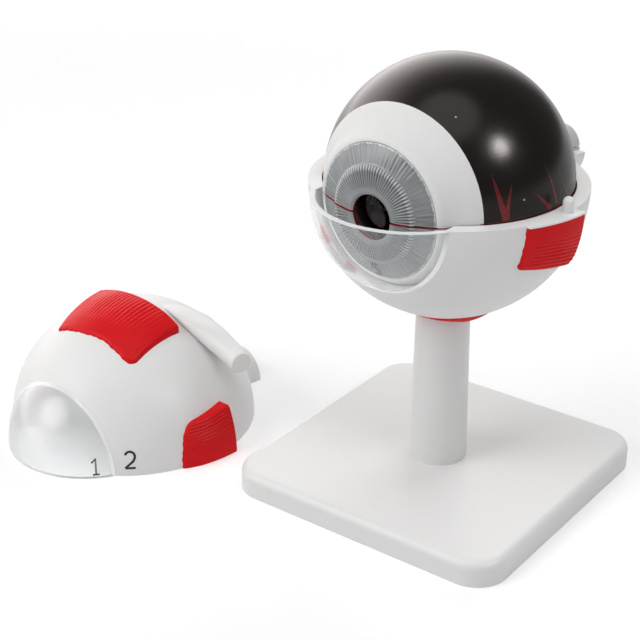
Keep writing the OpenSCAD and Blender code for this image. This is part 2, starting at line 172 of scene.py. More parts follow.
join(
    room,
    (look, "Generated"), (on_the_left, 0),
    (look, "Generated"), (height, 0),
    (on_the_left, "Value"), (by_side, "Value"),
    (height, "Z"), (by_height, "Value"),
    (by_side, "Result"), (panel, 0),
    (by_height, "Result"), (panel, 1),
    (panel, 0), (level, 0),
    (level, 0), (mirrored, "Strength"),
    (path, "Is Glossy Ray"), (by_gloss, 0),
    (plain, 0), (by_gloss, 1),
    (mirrored, 0), (by_gloss, 2),
    (path, "Transmission Depth"), (shallow, 0),
    (path, "Is Transmission Ray"), (through_few, 0),
    (shallow, 0), (through_few, 1),
    (path, "Is Camera Ray"), (seen, 0),
    (through_few, 0), (seen, 1),
    (seen, 0), (by_eye, 0),
    (by_gloss, 0), (by_eye, 1),
    (white, 0), (by_eye, 2),
    (by_eye, 0), (room_out, 0),
)
bpy.context.scene.view_settings.view_transform = "Standard"
print("world shader of", len(room.nodes), "nodes")

# %% [markdown]
# ## Shapes from arrays
#
# Each new piece below is a grid of points that numpy works out as a whole. A few helpers do the
# rest: they number the faces of a grid, close a tube or a pair of sheets, turn all faces outwards
# and put the points where the piece belongs. Lengths are in millimetres about the eye's centre,
# with the eye looking towards -Y and the nose on its +X side.


# %% Places of the three groups
def turn_z(degrees):
    """Matrix of a turn about the upright axis."""
    c, s = np.cos(np.radians(degrees)), np.sin(np.radians(degrees))
    return np.array([[c, -s, 0], [s, c, 0], [0, 0, 1]])


def turn_x(degrees):
    """Matrix of a turn about the X axis."""
    c, s = np.cos(np.radians(degrees)), np.sin(np.radians(degrees))
    return np.array([[1, 0, 0], [0, c, -s], [0, s, c]])


EYE_CENTRE = np.array([0, 0, 95.6])
PLACES = {
    "stand": (EYE_CENTRE, turn_z(-4)),
    "ball": (EYE_CENTRE, turn_z(-4) @ turn_x(1)),
    "table": (np.array([-98.9, -28.4, 0]), turn_z(-2)),
}


def put(points, place):
    """Points in millimetres about the eye's centre, turned and moved to a place, in metres."""
    centre, turning = PLACES[place]
    return (np.asarray(points) @ turning.T + centre) * 0.001


print("places:", ", ".join(PLACES))


# %% Faces of a grid
def grid_faces(rows, columns, wrap=False, start=0):
    """Corner numbers of a grid's faces: each point with its right, lower-right and lower
    neighbour. With wrap the last column is joined to the first."""
    number = np.arange(rows * columns).reshape(rows, columns) + start
    if wrap:
        number = np.hstack([number, number[:, :1]])
    corners = [number[:-1, :-1], number[:-1, 1:], number[1:, 1:], number[1:, :-1]]
    return np.stack(corners, -1).reshape(-1, 4)


def tube_faces(rings, around, start=0):
    """Faces of a closed tube: rings of as many points each, and a cap at both ends."""
    first = [start + k for k in range(around)]
    last = [start + (rings - 1) * around + k for k in range(around)]
    return grid_faces(rings, around, wrap=True, start=start).tolist() + [first[::-1], last]


def two_sheets(front, rear):
    """Points and faces of a thin closed piece: a front grid, a rear grid of the same size, and
    the strip that joins their borders."""
    rows, columns = front.shape[:2]
    number = np.arange(rows * columns).reshape(rows, columns)
    border = np.concatenate([number[0], number[1:, -1], number[-1, -2::-1], number[-2:0:-1, 0]])
    following, size = np.roll(border, -1), rows * columns
    strip = np.stack([border, following, following + size, border + size], -1)
    sheet = grid_faces(rows, columns)
    faces = np.concatenate([sheet[:, ::-1], sheet + size, strip])
    return np.concatenate([front.reshape(-1, 3), rear.reshape(-1, 3)]), faces


print("faces of a tube of 3 rings of 4 points:", len(tube_faces(3, 4)))


# %% A mesh from points and faces
def facing_out(points, faces):
    """Whether a closed skin's faces point outwards: the sum of the volumes of the slivers
    between each face and the middle of the skin is then positive."""
    p = points - points.mean(0)
    volume = 0.0
    for f in (np.array([g for g in faces if len(g) == n]) for n in {len(g) for g in faces}):
        for k in range(1, f.shape[1] - 1):
            a, b, c = p[f[:, 0]], p[f[:, k]], p[f[:, k + 1]]
            volume += np.einsum("ij,ij->", a, np.cross(b, c)) / 6
    return volume > 0


def piece(name, points, faces, material, body, sharp=35):
    """A smooth mesh from points in metres and lists of corner numbers, with edges sharper than
    an angle kept as edges. It rides on a body and takes a material."""
    faces = [list(map(int, f)) for f in faces]
    if not facing_out(points, faces):
        faces = [f[::-1] for f in faces]
    mesh = bpy.data.meshes.new(name)
    mesh.from_pydata(points.tolist(), [], faces)
    mesh.validate()
    mesh.polygons.foreach_set("use_smooth", np.ones(len(mesh.polygons), bool))
    mesh.set_sharp_from_angle(angle=np.radians(sharp))
    mesh.materials.append(material)
    made = bpy.data.objects.new(name, mesh)
    bpy.context.scene.collection.objects.link(made)
    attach(made, body)
    print(f"{name}: {len(points)} points, {len(faces)} faces")
    return made


def merge_doubles(made):
    """Merges points that share a place, so that a pole is one point."""
    work = bmesh.new()
    work.from_mesh(made.data)
    bmesh.ops.remove_doubles(work, verts=work.verts, dist=1e-7)
    work.to_mesh(made.data)
    work.free()


def attribute(made, name, values):
    """Stores one number per point, for the material to read."""
    layer = made.data.attributes.new(name, "FLOAT", "POINT")
    layer.data.foreach_set("value", np.asarray(values, np.float32).ravel())


TETRAHEDRON = np.array([[0, 0, 0], [1, 0, 0], [0, 1, 0], [0, 0, 1]])
INWARD = [[0, 1, 2], [0, 3, 1], [0, 2, 3], [1, 3, 2]]
print("does a tetrahedron with its faces turned in face out:", facing_out(TETRAHEDRON, INWARD))

# %% [markdown]
# ## Finishes
#
# Moulded plastic is never one flat colour: its tone drifts by a few per cent, its gloss is uneven
# where it touched the mould, and it has a fine grain. One function makes such a finish from two
# tones, a range of roughness and a grain. The finishes with a look of their own get more nodes.


# %% Moulded plastic
def two_tone(name, tone, other, rough, drift, detail, patches):
    """A finish whose colour is two tones mixed by a slow noise, and whose roughness goes through
    a range by a quicker one. Scales are per metre, because it reads the object's coordinates."""
    made = bpy.data.materials.new(name)
    made.use_nodes = True
    tree = made.node_tree
    shader = tree.nodes["Principled BSDF"]
    place = node(tree, "ShaderNodeTexCoord")
    slow = node(tree, "ShaderNodeTexNoise", Scale=drift, Detail=detail)
    quick = node(tree, "ShaderNodeTexNoise", Scale=patches, Detail=3.0)
    tones = node(tree, "ShaderNodeMix", data_type="RGBA")
    tones.inputs[6].default_value = (*tone, 1)
    tones.inputs[7].default_value = (*other, 1)
    gloss = node(tree, "ShaderNodeMapRange")
    gloss.inputs["To Min"].default_value, gloss.inputs["To Max"].default_value = rough
    join(
        tree,
        (place, "Object"), (slow, "Vector"),
        (place, "Object"), (quick, "Vector"),
        (slow, "Fac"), (tones, 0),
        (tones, 2), (shader, "Base Color"),
        (quick, "Fac"), (gloss, "Value"),
        (gloss, "Result"), (shader, "Roughness"),
    )
    return made, slow


def parts_of(finish):
    """A finish's node tree, and in it the shader, the coordinates and the mix of two tones."""
    kinds = {n.type: n for n in finish.node_tree.nodes}
    return finish.node_tree, kinds["BSDF_PRINCIPLED"], kinds["TEX_COORD"], kinds["MIX"]


def plastic(name, tone, other, rough=(0.35, 0.45), grain=2200, depth=0.04, drift=14, **fixed):
    """Two tones and a bump of fine grain. What else is given by name is an input of the shader."""
    made, _ = two_tone(name, tone, other, rough, drift, 4.0, 260.0)
    tree, shader, place, _ = parts_of(made)
    fine = node(tree, "ShaderNodeTexNoise", Scale=grain, Detail=2.0)
    bump = node(tree, "ShaderNodeBump", Strength=depth, Distance=0.001)
    join(
        tree,
        (place, "Object"), (fine, "Vector"),
        (fine, "Fac"), (bump, "Height"),
        (bump, "Normal"), (shader, "Normal"),
    )
    for key, value in {"Specular_IOR_Level": 0.3, **fixed}.items():
        shader.inputs[key.replace("_", " ")].default_value = value
    return made


stand_white = plastic("stand_white", (0.775, 0.775, 0.77), (0.83, 0.83, 0.825), (0.34, 0.44))
shell_white = plastic("shell_white", (0.79, 0.79, 0.785), (0.85, 0.85, 0.845), (0.36, 0.48))
ring_white = plastic(
    "ring_white", (0.745, 0.745, 0.74), (0.81, 0.81, 0.80), (0.5, 0.62), grain=1500, depth=0.12
)
nerve_grey = plastic("nerve_grey", (0.55, 0.55, 0.55), (0.66, 0.66, 0.65), (0.18, 0.3))
muscle_red = plastic(
    "muscle_red", (0.62, 0.008, 0.011), (0.74, 0.012, 0.017), (0.3, 0.4), grain=1700,
    depth=0.06, Specular_IOR_Level=0.09,
)
screw_steel = plastic(
    "screw_steel", (0.55, 0.55, 0.57), (0.68, 0.68, 0.69), (0.25, 0.45), depth=0.1, Metallic=1.0
)
split_red = plastic("split_red", (0.34, 0.008, 0.010), (0.44, 0.012, 0.016), (0.35, 0.5))
ink_black = plastic("ink_black", (0.02, 0.02, 0.02), (0.04, 0.04, 0.04), (0.45, 0.6))
print("plastics:", len(bpy.data.materials))

# %% [markdown]
# The inner ball is glossy black. On the real one a few specks of dust stand out as tiny pale dots,
# and the gloss has a faint haze that widens every glint. A texture of cells gives the distance to
# the nearest of many scattered points, and only what lies very close to one is painted pale.

# %% Glossy black with dust
ball_black = plastic(
    "ball_black", (0.008, 0.0065, 0.006), (0.012, 0.010, 0.009), (0.2, 0.27), depth=0.02,
    Specular_IOR_Level=0.26, Specular_Tint=(1.0, 0.94, 0.92, 1),
)
DUST_CELLS, DUST_SIZE = 110.0, 0.028

tree, shader, place, tones = parts_of(ball_black)
cells = node(tree, "ShaderNodeTexVoronoi", Scale=DUST_CELLS)
speck = node(tree, "ShaderNodeMath", operation="LESS_THAN")
speck.inputs[1].default_value = DUST_SIZE
dusty = node(tree, "ShaderNodeMix", data_type="RGBA")
dusty.inputs[7].default_value = (0.5, 0.48, 0.46, 1)
join(
    tree,
    (place, "Object"), (cells, "Vector"),
    (cells, "Distance"), (speck, 0),
    (speck, 0), (dusty, 0),
    (tones, 2), (dusty, 6),
    (dusty, 2), (shader, "Base Color"),
)
print("dust cells per metre:", DUST_CELLS)

# %% [markdown]
# Clear acrylic is glass with a low bend of light. A lamp can't be sampled through glass, so the
# pieces under it would turn black. Real acrylic lets the light through, so rays on their way to a
# lamp see a transparent surface instead, and every other ray sees the glass. A rough coat gives
# the soft glow round each reflection. The loose upper cornea is a little hazy.


# %% Clear plastic
ACRYLIC_BEND, COAT_ROUGHNESS = 1.49, 0.36


def clear(name, tone, other, rough, waves, clarity, passing, gleam, coat=0.0):
    """Glass of acrylic's bend, a little wavy and milky, which lets the lamps' light through."""
    made, slow = two_tone(name, tone, other, rough, 30.0, 2.0, 500.0)
    tree, shader, _, _ = parts_of(made)
    shader.inputs["Transmission Weight"].default_value = clarity
    shader.inputs["IOR"].default_value = ACRYLIC_BEND
    shader.inputs["Specular IOR Level"].default_value = gleam
    shader.inputs["Coat Weight"].default_value = coat
    shader.inputs["Coat Roughness"].default_value = COAT_ROUGHNESS
    bump = node(tree, "ShaderNodeBump", Strength=waves, Distance=0.002)
    path = node(tree, "ShaderNodeLightPath")
    through = node(tree, "ShaderNodeBsdfTransparent", Color=(*[passing] * 3, 1))
    either = node(tree, "ShaderNodeMixShader")
    join(
        tree,
        (slow, "Fac"), (bump, "Height"),
        (bump, "Normal"), (shader, "Normal"),
        (path, "Is Shadow Ray"), (either, 0),
        (shader, 0), (either, 1),
        (through, 0), (either, 2),
        (either, 0), (tree.nodes["Material Output"], 0),
    )
    return made


clear_plastic = clear(
    "clear_plastic", (0.88, 0.89, 0.895), (0.94, 0.945, 0.95), rough=(0.0, 0.02), waves=0.12,
    clarity=0.98, passing=0.92, gleam=0.14, coat=0.8,
)
clear_hazy = clear(
    "clear_hazy", (0.76, 0.765, 0.77), (0.84, 0.845, 0.85), rough=(0.2, 0.26), waves=0.12,
    clarity=0.86, passing=0.96, gleam=0.10, coat=0.5,
)
clear_body = clear(
    "clear_body", (0.78, 0.80, 0.81), (0.86, 0.87, 0.88), rough=(0.0, 0.03), waves=0.05,
    clarity=1.0, passing=0.25, gleam=0.12,
)
# The lens's dark grey tint is painted shade, which keeps the pupil dark like the shaded inside of the
# closed ball.
clear_lens = clear(
    "clear_lens", (0.48, 0.48, 0.49), (0.58, 0.58, 0.59), rough=(0.0, 0.03), waves=0.03,
    clarity=1.0, passing=0.25, gleam=0.12,
)
print("clear finishes:", clear_plastic.name, clear_hazy.name, clear_body.name, clear_lens.name)

# %% [markdown]
# The lining of the ball is the retina: red and a little mottled, with a darker spot almost straight
# behind the pupil, where sight is sharpest. The tone is darkened near that spot, by a smooth fall
# with the distance from it. The vessels on the lining are pieces of their own, further down.

# %% Red lining
lining_red = plastic(
    "lining_red", (0.42, 0.030, 0.012), (0.62, 0.062, 0.030), (0.35, 0.5), grain=900, depth=0.10,
    drift=70,
)
LINING_R, SPOT_TURN = 32.4, 5
SPOT = put(turn_z(SPOT_TURN) @ [0, LINING_R, 0], "ball")

tree, shader, place, tones = parts_of(lining_red)
from_spot = node(tree, "ShaderNodeVectorMath", operation="DISTANCE")
from_spot.inputs[1].default_value = SPOT
near_spot = ramp(tree, 0.0010, 0.0036, 0.75, 0)
spotted = node(tree, "ShaderNodeMix", data_type="RGBA", blend_type="MULTIPLY")
spotted.inputs[7].default_value = (0.45, 0.30, 0.30, 1)
join(
    tree,
    (place, "Object"), (from_spot, 0),
    (from_spot, "Value"), (near_spot, "Value"),
    (near_spot, "Result"), (spotted, 0),
    (tones, 2), (spotted, 6),
    (spotted, 2), (shader, "Base Color"),
)
print("lining:", lining_red.name, "with a darker spot at", np.round(SPOT * 1000, 1), "mm")

# %% [markdown]
# Most solids already have the right shape, so they stay and only take a finish in their material
# slots. What needs relief is replaced further down.

# %% Finishes of the solids that stay
STAYING = {
    stand_white: ["base_plate", "stem"],
    shell_white: ["lower_sclera", "upper_sclera"],
    clear_body: ["vitreous_body"],
    clear_lens: ["lens"],
    ball_black: ["lower_choroid", "upper_choroid"],
    lining_red: ["lower_retina", "upper_retina"],
    nerve_grey: ["lower_optic_nerve", "upper_optic_nerve"],
    screw_steel: ["base_screw", "bowl_screw"],
}
for finish, names in STAYING.items():
    for name in names:
        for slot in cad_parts[name].material_slots:
            slot.material = finish
print("solids that stay:", sum(len(names) for names in STAYING.values()))

# %% [markdown]
# ## Ribbed muscles
#
# The eye muscles are red pads whose surface is ribbed from front to rear, like fibres. A bump
# texture would give the shading but a smooth outline, so the ribs are modelled. A pad is two
# grids over the same plan, an outer and an inner one, whose borders drop to the white shell and
# are joined there. A point's height over the plan is that of a sphere less the rib's groove.
#
# A pad's sizes are the radius of its sphere (ball) and how far that stands back from the eye's
# centre (back), its front edge, the half widths of its front and rear, and where its middle is.
# The other sizes say how the front edge slopes or is hollow, and how its sides fall and widen.

# %% Sizes of a muscle pad
SHELL_R = 39.1
SKIN = 0.8
MUSCLE_REAR = 3.4
EDGE_ROUND = 0.8
SIDE = dict(ball=42.3, back=4.6, slope=3.0, front=15.2, front_half=13.2, rear_half=16.0,
            middle=0.0, front_fall=0.55, flank=0.0, hollow=0.0, widen=0.0)
UPPER = dict(ball=41.6, back=3.0, slope=0.0, front=17.5, front_half=15.6, rear_half=17.5,
             middle=1.6, front_fall=0.35, flank=0.72, hollow=0.6, widen=1.5)
UNDER = dict(ball=41.0, back=2.5, slope=0.0, front=13.0, front_half=14.0, rear_half=14.0,
             middle=0.0, front_fall=0.3, flank=0.0, hollow=0.0, widen=0.0)
print("radii of the pads' spheres in mm:", [pad["ball"] for pad in (SIDE, UPPER, UNDER)])


# %% Lines, rises and corners
def stops(count, length):
    """Shares from 0 to 1 for a line across a pad: close together within the rounding at both
    ends, and even between."""
    near = EDGE_ROUND / length * (1 - np.cos(np.linspace(0, np.pi / 2, 6)))
    even = np.linspace(near[-1], 1 - near[-1], count)
    return np.concatenate([near[:-1], even, 1 - near[:-1][::-1]])


def ease(low, high, value):
    """0 below low, 1 above high and a smooth rise between."""
    t = np.clip((value - low) / (high - low), 0, 1)
    return t * t * (3 - 2 * t)


def corner_drop(distance, radius):
    """How far the edge of a rounded corner stands back at a distance from the side: a quarter of
    a circle."""
    return radius - np.sqrt(radius**2 - np.clip(radius - distance, 0, radius) ** 2)


print("stops on a line of 16 mm:", np.round(stops(4, 16.0), 3))

# %% The plan of a pad
RIPPLE = 0.14


def pad_plan(shape, low, high, inset, across, along, rear_line, corners):
    """A sheet seen from above. A point is a share across, from plan edge low to high, and a share
    along, from the rear line to the front edge. Both lines draw back at the rounded corners. Gives
    each point's x and way ahead, its share of the whole length, the pad's half width there, and
    its gaps to the rear, front, low and high edge."""
    front_half, rear_half = shape["front_half"] - inset, shape["rear_half"] - inset
    front, rear = shape["front"] - inset, MUSCLE_REAR - inset
    u, t = np.meshgrid(across, along, indexing="ij")
    at_low = -front_half if low is None else low
    span = (front_half if high is None else high) - at_low
    plan_x = at_low + span * u
    front_low, front_high, rear_low, rear_high = corners
    tip = front - shape["slope"] * (np.clip(-plan_x, 0, None) / front_half) ** 2
    tip = tip - shape["hollow"] * np.exp(-(((plan_x - 3) / 5) ** 2))
    tip = tip - RIPPLE * np.sin(1.9 * plan_x + 1) * np.sin(0.7 * plan_x)
    tip = tip - corner_drop(u * span, front_low) - corner_drop((1 - u) * span, front_high)
    start = rear_line(plan_x, inset)
    start = start + corner_drop(u * span, rear_low) + corner_drop((1 - u) * span, rear_high)
    ahead = start + (tip - start) * t
    share = (ahead + rear) / (front + rear)
    half = rear_half + (front_half - rear_half) * share
    left = -half if low is None else np.full_like(half, low)
    right = half + shape["widen"] * share if high is None else np.full_like(half, high)
    x = left + (right - left) * u
    return x, ahead, share, half, (ahead - start, tip - ahead, x - left, right - x)


# %% One sheet of a pad
EDGE_FALL, BESIDE_FALL, GRIP = 0.9, 1.8, 0.1


def rounded(inside):
    """How far a rounded edge has fallen, 0 to 1: a quarter of a circle."""
    return 1 - np.sqrt(1 - inside**2)


def pad_sheet(shape, low, high, inset, across, along, rear_line, groove, corners):
    """One sheet of a pad. Its height is that of the pad's sphere, rounded down at open edges and
    less the groove. A row or column more at each open edge drops to the shell."""
    open_low, open_high = low is None, high is None
    across = np.concatenate([[0.0] * open_low, across, [1.0] * open_high])
    along = np.concatenate([[0.0], along, [1.0]])
    x, ahead, share, half, gaps = pad_plan(shape, low, high, inset, across, along, rear_line, corners)
    to_rear, to_front, to_low, to_high = gaps
    gap = np.minimum(to_rear, to_front)
    if open_low:
        gap = np.minimum(gap, to_low)
    if open_high:
        gap = np.minimum(gap, to_high)
    inside = np.clip(1 - gap / EDGE_ROUND, 0, 1)
    slant = np.clip(1 - to_high / (1.2 + 4.5 * (1 - share)), 0, 1)
    fall = shape["front_fall"] * (1 - ease(0, 5.5, to_front))
    fall = np.maximum(fall, shape["flank"] * slant) + EDGE_FALL * rounded(inside)
    if open_high:
        beside = np.clip(1 - to_high / EDGE_ROUND, 0, 1)
        fall = fall + BESIDE_FALL * shape["flank"] * rounded(beside)
    smooth = (1 - inside) * (1 - ease(0, 0.3, slant * shape["flank"]))
    fall = fall + groove(x / half, share) * smooth
    x = x + shape["middle"]
    height = np.sqrt((shape["ball"] - inset) ** 2 - x**2 - (ahead + shape["back"]) ** 2)
    height = height - fall * (inset == 0)
    floor = np.sqrt((SHELL_R - GRIP) ** 2 - x**2 - ahead**2)
    height = np.maximum(height, floor + GRIP / 2)
    height[:, [0, -1]] = floor[:, [0, -1]]
    if open_low:
        height[0] = floor[0]
    if open_high:
        height[-1] = floor[-1]
    return np.stack([x, -ahead, height], -1)


print("edges fall by", EDGE_FALL, "mm and reach", GRIP, "mm into the shell")


# %% Ribs
def ribs(count, depth, seed, where):
    """Depth of the grooves: narrow valleys, one less a low power of |sin| of the share across,
    which sway a little on their way from rear to front. where(across, along) says how strong
    they are at a place."""
    random = np.random.default_rng(seed)
    sway, lift = random.uniform(0, 6.3, 3), random.uniform(0, 6.3, 3)

    def groove(across, along):
        wave = 0.10 * np.sin(5 * along + sway[0] + 3 * across)
        wave += 0.05 * np.sin(11 * along + sway[1] + 17 * across)
        ridge = np.abs(np.sin(np.pi * (count * (across + 1) / 2 + wave)))
        strength = 0.75 + 0.25 * np.sin(9 * across + lift[0] + 2 * along)
        return depth * strength * (1 - ridge**0.55) * where(across, along)

    return groove


def towards_the_front(across, along):
    """The upper muscle's ribs fade towards its front edge, except on the nose's side."""
    return 1 - 0.85 * ease(0.5, 0.9, along) * (1 - ease(0.3, 0.75, across))


def below_the_rim(across, along):
    """A lower side muscle is smooth near the rim and at its front edge."""
    return ease(0.26, 0.4, across) * (1 - ease(0.8, 0.93, along))


def near_the_top(across, along):
    """An upper side muscle has its ribs in the upper part."""
    return (0.12 + 0.88 * (1 - ease(-0.58, -0.36, across))) * (1 - ease(0.84, 0.95, along))


def all_over(across, along):
    """Even ribs."""
    return np.ones_like(across)


deepest = ribs(24, 0.3, 3, all_over)(np.linspace(-1, 1, 500), 0.5).max()
print("deepest groove of 24 ribs:", round(float(deepest), 2), "mm")


# %% Pads
def plain_rear(x, inset):
    """The rear line of a pad: straight across."""
    return np.full_like(x, inset - MUSCLE_REAR)


def pad(name, shape, lay, place, body, node_name, groove, low=None, high=None,
        rear_line=plain_rear, corners=(0, 0, 0, 0), columns=200):
    """A ribbed pad in place of a CAD node: outer sheet, inner sheet, and the strip that joins
    their borders. lay turns the pad from the top of the eye to its own side."""
    span = shape["rear_half"] * (2 if low is None and high is None else 1)
    across = stops(columns, span)
    along = stops(44, shape["front"] + MUSCLE_REAR)
    sheets = [pad_sheet(shape, low, high, inset, across, along, rear_line, groove, corners)
              for inset in (0.0, SKIN)]
    points, faces = two_sheets(*sheets)
    points = points @ np.array(lay, float).T
    made = piece(name, put(points, place), faces, muscle_red, body, 50)
    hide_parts(node_name)
    return made


TOP = [[1, 0, 0], [0, 1, 0], [0, 0, 1]]
UNDERNEATH = [[1, 0, 0], [0, 1, 0], [0, 0, -1]]
NOSE = [[0, 0, 1], [0, 1, 0], [-1, 0, 0]]
FAR_TURN = 16
FAR = turn_z(-FAR_TURN) @ np.array([[0, 0, -1], [0, 1, 0], [-1, 0, 0]])
EDGE = 0.5
STEM_ROOM = 8.3


def round_the_stem(x, inset):
    """The rear line of the lower pad: the front of the round gap about the stem, and beside it
    the straight rear edge."""
    from_stem = np.clip(STEM_ROOM**2 - x**2, 0, None) ** 0.5 + inset
    return np.where(np.abs(x) < STEM_ROOM, from_stem, inset - MUSCLE_REAR)


pad("ribs_superior", UPPER, TOP, "table", "upper_shell", "superior_rectus",
    ribs(24, 0.30, 3, towards_the_front), corners=(0.5, 2.8, 0, 0.8), columns=240)
pad("ribs_inferior", UNDER, UNDERNEATH, "stand", "stand", "inferior_rectus",
    ribs(20, 0.3, 13, all_over), rear_line=round_the_stem, columns=160)
SIDES = (("medial", NOSE, 0), ("lateral", FAR, 1))
for word, lay, more in SIDES:
    pad(f"ribs_{word}_upper", SIDE, lay, "table", "upper_shell", f"{word}_rectus_upper",
        ribs(28, 0.42, 17 + more, near_the_top), high=0.0, corners=(2.9, 0, 1.5, 0), columns=110)
for word, lay, more in SIDES:
    pad(f"ribs_{word}_lower", SIDE, lay, "stand", "stand", f"{word}_rectus_lower",
        ribs(26, 0.38, 19 + more, below_the_rim), low=EDGE, corners=(0, 1.6, 0, 3.0), columns=110)

# %% [markdown]
# ## The upper oblique muscle
#
# This white strap lies on the shell, turns on edge and leaves it as a round rod with a cut end.
# The solid has the same route in ten steps. Here a curve through the same ten points gives over
# a hundred rings, and an ellipse that changes along the way is carried along it.

# %% Sweep the strap
# Place of a point of the strap's middle, and half the strap's width and thickness there.
STRAP_ROUTE = np.array([
    [-2.7, 15.8, 33.2, 5.5, 0.8], [4.2, 14.8, 34.2, 6.6, 1.1], [9.7, 14.4, 34.4, 7.6, 1.4],
    [14.5, 13.7, 34, 8.2, 1.8], [18.5, 13, 33, 7.8, 2.5], [23, 12.1, 32, 6.6, 3.3],
    [27.7, 11, 31.1, 5.2, 3.7], [32.3, 9.9, 30.2, 4.1, 3.7], [36.7, 8.7, 29.4, 3.6, 3.5],
    [41.1, 7, 29, 3.3, 3.3],
])


def through(rows, count):
    """A smooth curve through all rows: each stretch is a cubic that leaves and arrives in the
    direction of the rows on either side of its ends."""
    padded = np.vstack([2 * rows[0] - rows[1], rows, 2 * rows[-1] - rows[-2]])
    s = np.linspace(0, len(rows) - 1, count)
    i = np.minimum(s.astype(int), len(rows) - 2)
    f = (s - i)[:, None]
    a, b, c, d = (padded[i + k] for k in range(4))
    return 0.5 * (2 * b + (c - a) * f + (2 * a - 5 * b + 4 * c - d) * f**2
                  + (3 * b - a - 3 * c + d) * f**3)


def unit(v):
    """Vectors divided by their lengths."""
    return v / np.linalg.norm(v, axis=-1, keepdims=True)


RINGS, AROUND = 110, 48
END_AHEAD, END_SHARE = np.array([[0.12], [0.2]]), [0.96, 0.88]

route = through(STRAP_ROUTE, RINGS)
middle = route[:, :3]
ahead = unit(np.gradient(middle, axis=0))
up = unit(middle)
up = unit(up - ahead * (up * ahead).sum(1, keepdims=True))
across = np.cross(ahead, up)
last = [-1, -1]
middle = np.vstack([middle, middle[last] + ahead[last] * END_AHEAD])
across, up, half = (np.vstack([rows, rows[last]]) for rows in (across, up, route[:, 3:]))
half = half * np.append(np.ones(RINGS), END_SHARE)[:, None]
angle = np.linspace(0, 2 * np.pi, AROUND, endpoint=False)
rings = (middle[:, None] + across[:, None] * (half[:, :1] * np.cos(angle))[..., None]
         + up[:, None] * (half[:, 1:] * np.sin(angle))[..., None])
faces = tube_faces(len(rings), AROUND)
strap = piece("strap", put(rings.reshape(-1, 3), "table"), faces, shell_white, "upper_shell", 50)
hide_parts("superior_oblique")

# %% [markdown]
# ## Half rings round the eye's axis
#
# The iris and the white ring before it are turned shapes, split along the level plane. Both are a
# closed profile carried round half a turn. The two ends are flat and stop at the seam, so the
# first and last angle differ a little from point to point of the profile.

# %% Half a turn of a profile
PAINTED_SEAM = 0.6
HALVES = (("upper", 1), ("lower", -1))


def half_turn(profile, steps, sign, seam, relief=None):
    """Points of a profile, (out, ahead) pairs, at each step of half a turn, above (1) or below
    (-1) the seam. The end rows lie beside the seam. relief(out, angle) moves the points ahead."""
    out, forward = profile[:, 0][None], profile[:, 1][None]
    start = np.arcsin(np.clip(seam / 2 / out, 0, 1))
    share = np.linspace(0, 1, steps)[:, None]
    angle = start + (np.pi - 2 * start) * share
    if sign < 0:
        angle = angle + np.pi
    push = 0 * angle if relief is None else relief(out, angle)
    return np.stack([out * np.cos(angle), -(forward + push), out * np.sin(angle)], -1)


def half_ring(name, profile, steps, half, material, node_name, relief=None, aside=None):
    """A half ring in place of a CAD node, closed with the profile itself at both ends. aside(out)
    moves its points towards the nose."""
    word, sign = half
    rows = half_turn(profile, steps, sign, PAINTED_SEAM, relief)
    if aside is not None:
        rows[..., 0] += aside(profile[:, 0])
    faces = tube_faces(steps, len(profile))
    made = piece(name, put(rows.reshape(-1, 3), "ball"), faces, material, f"{word}_ball")
    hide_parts(node_name)
    return made


print("gap between painted halves:", PAINTED_SEAM, "mm")

# %% [markdown]
# ## The clear corneas
#
# Each cornea is a half dome of clear plastic whose rim stands on the ledge round the shell's
# window. It is a turned shape too: a profile of the outer and the inner sphere. The cut face was
# left matt by the mould, and shows as a white line, so it is a thin plate of its own. The rim
# that stands on the ledge is matt too.

# %% Clear half domes
CORNEA_R, CORNEA_WALL, CORNEA_AHEAD, RIM_AHEAD = 27.0, 1.5, 17.796, 31.385
CORNEA_INNER = CORNEA_R - CORNEA_WALL
CUT_FACE, CUT_FOOT, CUT_TOP = 0.25, 0.02, 0.24
DOME_STEPS, CUT_STEPS = 121, 120

frosted = plastic("frosted", (0.82, 0.84, 0.85), (0.93, 0.94, 0.95), (0.45, 0.6), grain=900,
                  depth=0.2, drift=300)


def rim_lean(radius):
    """Angle from the axis at which a sphere of the dome meets the plane of its rim."""
    return np.arccos((RIM_AHEAD - CORNEA_AHEAD) / radius)


def on_the_dome(radius, lean):
    """(out, ahead) pairs of a sphere of the dome at angles from its axis."""
    return np.stack([radius * np.sin(lean), CORNEA_AHEAD + radius * np.cos(lean)], -1)


def dome_line(radius, count):
    """The sphere's profile from beside the axis to the rim."""
    lean = np.linspace(np.arcsin(CUT_FACE / radius), rim_lean(radius), count)
    return on_the_dome(radius, lean)


def clear_dome(word, sign, place, body, finish):
    """A half dome: the outer and the inner profile, turned. The faces of its rim are frosted."""
    outer, inner = dome_line(CORNEA_R, 48), dome_line(CORNEA_INNER, 44)[::-1]
    rows = half_turn(np.vstack([outer, inner]), DOME_STEPS, sign, 2 * CUT_FACE)
    count = rows.shape[1]
    faces = tube_faces(DOME_STEPS, count)
    dome = piece(f"cornea_{word}", put(rows.reshape(-1, 3), place), faces, finish, body, 50)
    dome.data.materials.append(frosted)
    rim = np.append(np.tile(np.arange(count) == len(outer) - 1, DOME_STEPS - 1), [0, 0])
    dome.data.polygons.foreach_set("material_index", rim.astype(np.int32))
    merge_doubles(dome)
    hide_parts(f"{word}_cornea")


def cut_plate(word, sign, place, body):
    """The matt cut face: a thin plate between the two arcs of the dome."""
    section = []
    for radius, z in ((CORNEA_R, CUT_FOOT), (CORNEA_R, CUT_TOP),
                      (CORNEA_INNER, CUT_TOP), (CORNEA_INNER, CUT_FOOT)):
        line = on_the_dome(radius, np.linspace(-1, 1, CUT_STEPS) * rim_lean(radius))
        section.append(np.stack([line[:, 0], -line[:, 1], np.full(CUT_STEPS, sign * z)], -1))
    points = np.stack(section, 1).reshape(-1, 3)
    faces = tube_faces(CUT_STEPS, 4)
    cut = piece(f"cornea_cut_{word}", put(points, place), faces, frosted, body)


